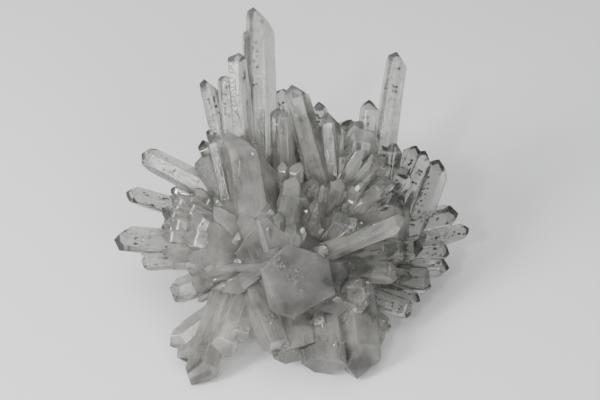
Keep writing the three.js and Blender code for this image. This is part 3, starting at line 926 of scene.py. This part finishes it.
# Noise in waves per metre: milky clouds, wisps, pits and a slow wave. Wisps are drawn out along the
# crystal, and are faint on its end faces. Growth lines shift from crystal to crystal.
CLOUD_SCALE = 110
WISP_SCALE = 900
WISP_STRETCH = (-0.88, -0.88, -0.88)
WISP_ON_ENDS = 0.2
PIT_SCALE = 1100
WAVE_SCALE = 260
LINE_SCALE = 2400.0
LINE_SHIFT = 90.0

# Clearness: its gain, its loss at worn edges, which whitens them partly as frosted wear and partly
# as a painted highlight along the rims, and the ranges of it that set how much light passes, the
# colour and the gloss. Wisps darken the milk by the tone.
CLEAR_GAIN = 1.25
EDGE_FROST_AND_HIGHLIGHT = -0.5
PASS_RANGE = (-0.5, 1.0)
COLOR_RANGE = (0.2, 0.9)
GLOSS_RANGE = (-0.2, 0.9)
WISP_RANGE = (-0.3, 0.3)
TONE = (0.84, 1.0)

# Heights of the surface detail, and the bump's strength and depth in metres
PIT_HEIGHT = 0.25
WAVE_HEIGHT = 1.2
LINE_HEIGHT = 0.8
BUMP_STRENGTH = 0.6
BUMP_DEPTH = 0.00012
LEAST_ROUGHNESS = 0.03
PIT_ROUGHNESS = 0.1
QUARTZ_IOR = 1.544

# The dark flecks' grain and bump
GRAIN_SCALE = 3000
GRAIN_RANGE = (0.3, 0.7)
GRAIN_STRENGTH = 0.5
GRAIN_DEPTH = 0.00005
FLECK_ROUGHNESS = 0.5


def quartz_material(look):
    sheet = NodeSheet("quartz")
    position = sheet.add("ShaderNodeNewGeometry").outputs["Position"]
    axis = sheet.attribute("axis", "Vector")
    clear = sheet.attribute("clear")
    wall = sheet.attribute("wall")
    edge = sheet.attribute("edge")
    chance = sheet.attribute("chance")
    along = sheet.add(
        "ShaderNodeVectorMath", {0: position, 1: axis}, operation="DOT_PRODUCT",
    ).outputs["Value"]

    # Clear towards the tips, milky at the heart, with clouds and lengthwise wisps between
    from_heart = sheet.distance(position, HEART * MM)
    reach = sheet.between(from_heart, (look.milk_radius, look.clear_radius), smooth=True)
    clouds = sheet.noise(position, CLOUD_SCALE, 4, 0.6)
    slid = sheet.add("ShaderNodeVectorMath", {0: axis, "Scale": along}, operation="SCALE")
    shrunk = sheet.add(
        "ShaderNodeVectorMath", {0: slid.outputs[0], 1: WISP_STRETCH, 2: position},
        operation="MULTIPLY_ADD",
    ).outputs[0]
    wisps = sheet.noise(shrunk, WISP_SCALE, 4, 0.7)
    cloud = sheet.math("MULTIPLY_ADD", clouds, look.clouding, -0.5 * look.clouding)
    wisp = sheet.math("MULTIPLY_ADD", wisps, look.wisps, -0.5 * look.wisps)
    wisp = sheet.math("MULTIPLY", wisp, sheet.between(wall, (0, 1), (WISP_ON_ENDS, 1.0)))
    pure = sheet.math("MULTIPLY", sheet.math("MULTIPLY", clear, CLEAR_GAIN), reach)
    clouded = sheet.math("ADD", pure, sheet.math("ADD", cloud, wisp))
    # Worn edges lose clearness and turn whiter: partly frosted wear, partly a painted highlight
    # along the rims
    frosted_and_highlit_rim = sheet.math("MULTIPLY", edge, sheet.math("MULTIPLY", pure, EDGE_FROST_AND_HIGHLIGHT))
    clarity = sheet.math("ADD", clouded, frosted_and_highlit_rim)
    see_through = sheet.between(clarity, PASS_RANGE, (look.milky_pass, look.clear_pass))

    # Colour: milk, clear quartz and a faint iron stain near two roots
    tone = sheet.between(wisp, WISP_RANGE, TONE)
    milk = sheet.blend(tone, (0.0, 0.0, 0.0), look.milk_color)
    color = sheet.blend(sheet.between(clarity, COLOR_RANGE), milk, look.clear_color)
    for point, radius, strength in IRON_STAINS:
        near = sheet.between(sheet.distance(position, place(point) * MM), (0, radius), (strength, 0))
        color = sheet.blend(near, color, look.iron_color)

    # Growth lines across the prism faces, fine pits, and a slow wave in every face
    lines_at = sheet.add("ShaderNodeCombineXYZ", {
        0: sheet.math("MULTIPLY", along, LINE_SCALE),
        1: sheet.math("MULTIPLY", chance, LINE_SHIFT),
    }).outputs[0]
    lines = sheet.noise(lines_at, 1, 3, 0.7, noise_dimensions="2D")
    pits = sheet.noise(position, PIT_SCALE, 3, 0.6)
    wave = sheet.noise(position, WAVE_SCALE, 2)
    line_height = sheet.math("MULTIPLY", lines, sheet.math("MULTIPLY", wall, LINE_HEIGHT))
    height = sheet.math("MULTIPLY_ADD", pits, PIT_HEIGHT, line_height)
    height = sheet.math("MULTIPLY_ADD", wave, WAVE_HEIGHT, height)
    bump = sheet.add("ShaderNodeBump", {
        "Height": height, "Strength": BUMP_STRENGTH, "Distance": BUMP_DEPTH,
    })

    gloss = sheet.between(clarity, GLOSS_RANGE, (look.milk_roughness, LEAST_ROUGHNESS))
    smooth = sheet.math("SUBTRACT", gloss, LEAST_ROUGHNESS)
    rough = sheet.math("MULTIPLY_ADD", pits, PIT_ROUGHNESS, smooth)
    shader = sheet.add("ShaderNodeBsdfPrincipled", {
        "Base Color": color, "Transmission Weight": see_through, "Roughness": rough,
        "IOR": QUARTZ_IOR, "Normal": bump.outputs[0],
        "Subsurface Weight": 1.0, "Subsurface Radius": (1.0, 1.0, 1.0),
        "Subsurface Scale": look.glow,
    })
    depth = sheet.add("ShaderNodeVolumeAbsorption", {
        "Color": (*look.depth_color, 1), "Density": look.absorption,
    })
    sheet.add("ShaderNodeOutputMaterial", {
        "Surface": shader.outputs[0], "Volume": depth.outputs[0],
    })
    return sheet.material


def fleck_material(look):
    sheet = NodeSheet("flecks")
    position = sheet.add("ShaderNodeNewGeometry").outputs["Position"]
    grains = sheet.noise(position, GRAIN_SCALE, 3)
    share = sheet.between(grains, GRAIN_RANGE)
    color = sheet.blend(share, (0.0, 0.0, 0.0), look.fleck_color)
    bump = sheet.add("ShaderNodeBump", {
        "Height": grains, "Strength": GRAIN_STRENGTH, "Distance": GRAIN_DEPTH,
    })
    shader = sheet.add("ShaderNodeBsdfPrincipled", {
        "Base Color": color, "Roughness": FLECK_ROUGHNESS, "Normal": bump.outputs[0],
    })
    sheet.add("ShaderNodeOutputMaterial", {"Surface": shader.outputs[0]})
    return sheet.material


class QUARTZ_OT_cluster(Operator):
    """Build the joined crystals, with their growth layers, needles and sparkling patches"""

    bl_idname = "quartz.cluster"
    bl_label = "Crystal Cluster"

    def execute(self, context):
        form = context.scene.quartz_form
        growth = Growth(form.seed)
        for middle, size, seed in LUMPS:
            if seed != CAP_LUMP:
                growth.add_lump(middle, size, seed)
        for row in CAP:
            growth.add_crystal(row)
        rows = [(row, index + 1) for index, row in enumerate(HAND_PLACED)] + list(back_spray())
        for row, seed in rows:
            growth.add_crystal(row, part_numbers(seed))
            for layer in growth_layers(row, form.layers, growth.rng):
                growth.add_crystal(layer)
        for row in NEEDLE_ROWS:
            for needle in needles(row, form.needles, growth.rng):
                growth.add_crystal(needle)
        growth.sparkle(growth.join())
        whole = cut_to_frame(growth.join())
        whole.name = whole.data.name = "crystals"
        keep_outer_skin(whole.data)
        refine(whole.data, form.bend_step / MM)
        weather(whole.data)
        whole.data.transform(Matrix.Scale(MM, 4))
        write_face_data(whole.data, growth.crystals)
        whole.data.materials.clear()
        whole.data.materials.append(quartz_material(context.scene.quartz_look))
        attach(whole, "root")
        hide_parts(NODE)
        return {"FINISHED"}


class QUARTZ_OT_flecks(Operator):
    """Build the dark flecks inside the clear crystals"""

    bl_idname = "quartz.flecks"
    bl_label = "Dark Flecks"

    def execute(self, context):
        form = context.scene.quartz_form
        clear_rows = [row for row in HAND_PLACED if row["clear"] > FLECK_CLEAR]
        flecks = dark_flecks(clear_rows, form.flecks, np.random.default_rng(form.seed))
        flecks.data.transform(Matrix.Scale(MM, 4))
        flecks.data.materials.append(fleck_material(context.scene.quartz_look))
        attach(flecks, "root")
        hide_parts(NODE)
        return {"FINISHED"}


# What the lights face, then each light's name, place and size in metres, and power in watts
AIM = (0.0, 0.0, 0.025)
LIGHTS = (
    ("light_top", (-0.1, 0.05, 0.5), (0.5, 0.5), 1.0),
    ("light_left", (-0.48, -0.26, 0.36), (0.2, 0.3), 3.1),
    ("light_front", (0.26, -0.6, 0.26), (0.4, 0.3), 2.0),
    ("light_glint", (-0.2, -0.4, 0.4), (0.04, 0.04), 0.6),
)
SKY_COLOR = (0.95, 0.97, 1, 1)
FLOOR_HALF = 3
FLOOR_ROUGHNESS = 0.7
SENSOR_WIDTH = 36
LENS = 62.4
CLIP_START, CLIP_END = 0.01, 10


def soft_box(name, location, size, power):
    """A soft area light that faces the cluster."""
    data = bpy.data.lights.new(name, "AREA")
    data.shape = "RECTANGLE"
    data.size, data.size_y = size
    data.energy = power
    lamp = bpy.data.objects.new(name, data)
    lamp.location = location
    lamp.rotation_mode = "QUATERNION"
    lamp.rotation_quaternion = (Vector(AIM) - Vector(location)).to_track_quat("-Z", "Y")
    bpy.context.scene.collection.objects.link(lamp)


class QUARTZ_OT_stage(Operator):
    """Build the floor, the soft lights and the camera"""

    bl_idname = "quartz.stage"
    bl_label = "Studio Stage"

    def execute(self, context):
        stage = context.scene.quartz_stage
        paper = NodeSheet("floor")
        shader = paper.add("ShaderNodeBsdfPrincipled", {
            "Base Color": (*stage.floor_color, 1), "Roughness": FLOOR_ROUGHNESS,
        })
        paper.add("ShaderNodeOutputMaterial", {"Surface": shader.outputs[0]})
        bm = bmesh.new()
        bmesh.ops.create_grid(bm, x_segments=1, y_segments=1, size=FLOOR_HALF)
        floor = object_from(bm, "floor")
        floor.data.materials.append(paper.material)

        world = bpy.data.worlds.new("studio")
        world.use_nodes = True
        sky = world.node_tree.nodes["Background"]
        sky.inputs["Color"].default_value = SKY_COLOR
        sky.inputs["Strength"].default_value = stage.sky
        context.scene.world = world
        context.scene.view_settings.look = "AgX - Medium High Contrast"

        for name, location, size, power in LIGHTS:
            soft_box(name, location, size, power * stage.light)

        data = bpy.data.cameras.new("camera")
        data.sensor_width = SENSOR_WIDTH
        data.lens = LENS
        data.clip_start, data.clip_end = CLIP_START, CLIP_END
        camera = bpy.data.objects.new("camera", data)
        camera.location = Vector(place(CAMERA_PLACE) * MM)
        camera.rotation_mode = "QUATERNION"
        camera.rotation_quaternion = Vector(-NEAR).to_track_quat("-Z", "Y")
        context.scene.collection.objects.link(camera)
        context.scene.camera = camera
        return {"FINISHED"}


class QUARTZ_PT_panel(Panel):
    bl_idname = "QUARTZ_PT_panel"
    bl_label = "Quartz Cluster"
    bl_space_type = "VIEW_3D"
    bl_region_type = "UI"
    bl_category = "Quartz"

    def draw(self, context):
        scene = context.scene
        for title, group, operators in (
            ("Crystals", scene.quartz_form, ("quartz.cluster", "quartz.flecks")),
            ("Quartz", scene.quartz_look, ()),
            ("Stage", scene.quartz_stage, ("quartz.stage",)),
        ):
            box = self.layout.box()
            box.label(text=title)
            for name in group.bl_rna.properties.keys():
                if name not in {"rna_type", "name"}:
                    box.prop(group, name)
            for operator in operators:
                box.operator(operator)


CLASSES = (
    QuartzForm, QuartzLook, QuartzStage, QUARTZ_OT_cluster, QUARTZ_OT_flecks, QUARTZ_OT_stage,
    QUARTZ_PT_panel,
)


def register():
    for item in CLASSES:
        bpy.utils.register_class(item)
    bpy.types.Scene.quartz_form = PointerProperty(type=QuartzForm)
    bpy.types.Scene.quartz_look = PointerProperty(type=QuartzLook)
    bpy.types.Scene.quartz_stage = PointerProperty(type=QuartzStage)


def unregister():
    del bpy.types.Scene.quartz_stage
    del bpy.types.Scene.quartz_look
    del bpy.types.Scene.quartz_form
    for item in reversed(CLASSES):
        bpy.utils.unregister_class(item)


def main():
    register()
    bpy.ops.quartz.cluster()
    bpy.ops.quartz.flecks()
    bpy.ops.quartz.stage()


if __name__ == "__main__":
    main()
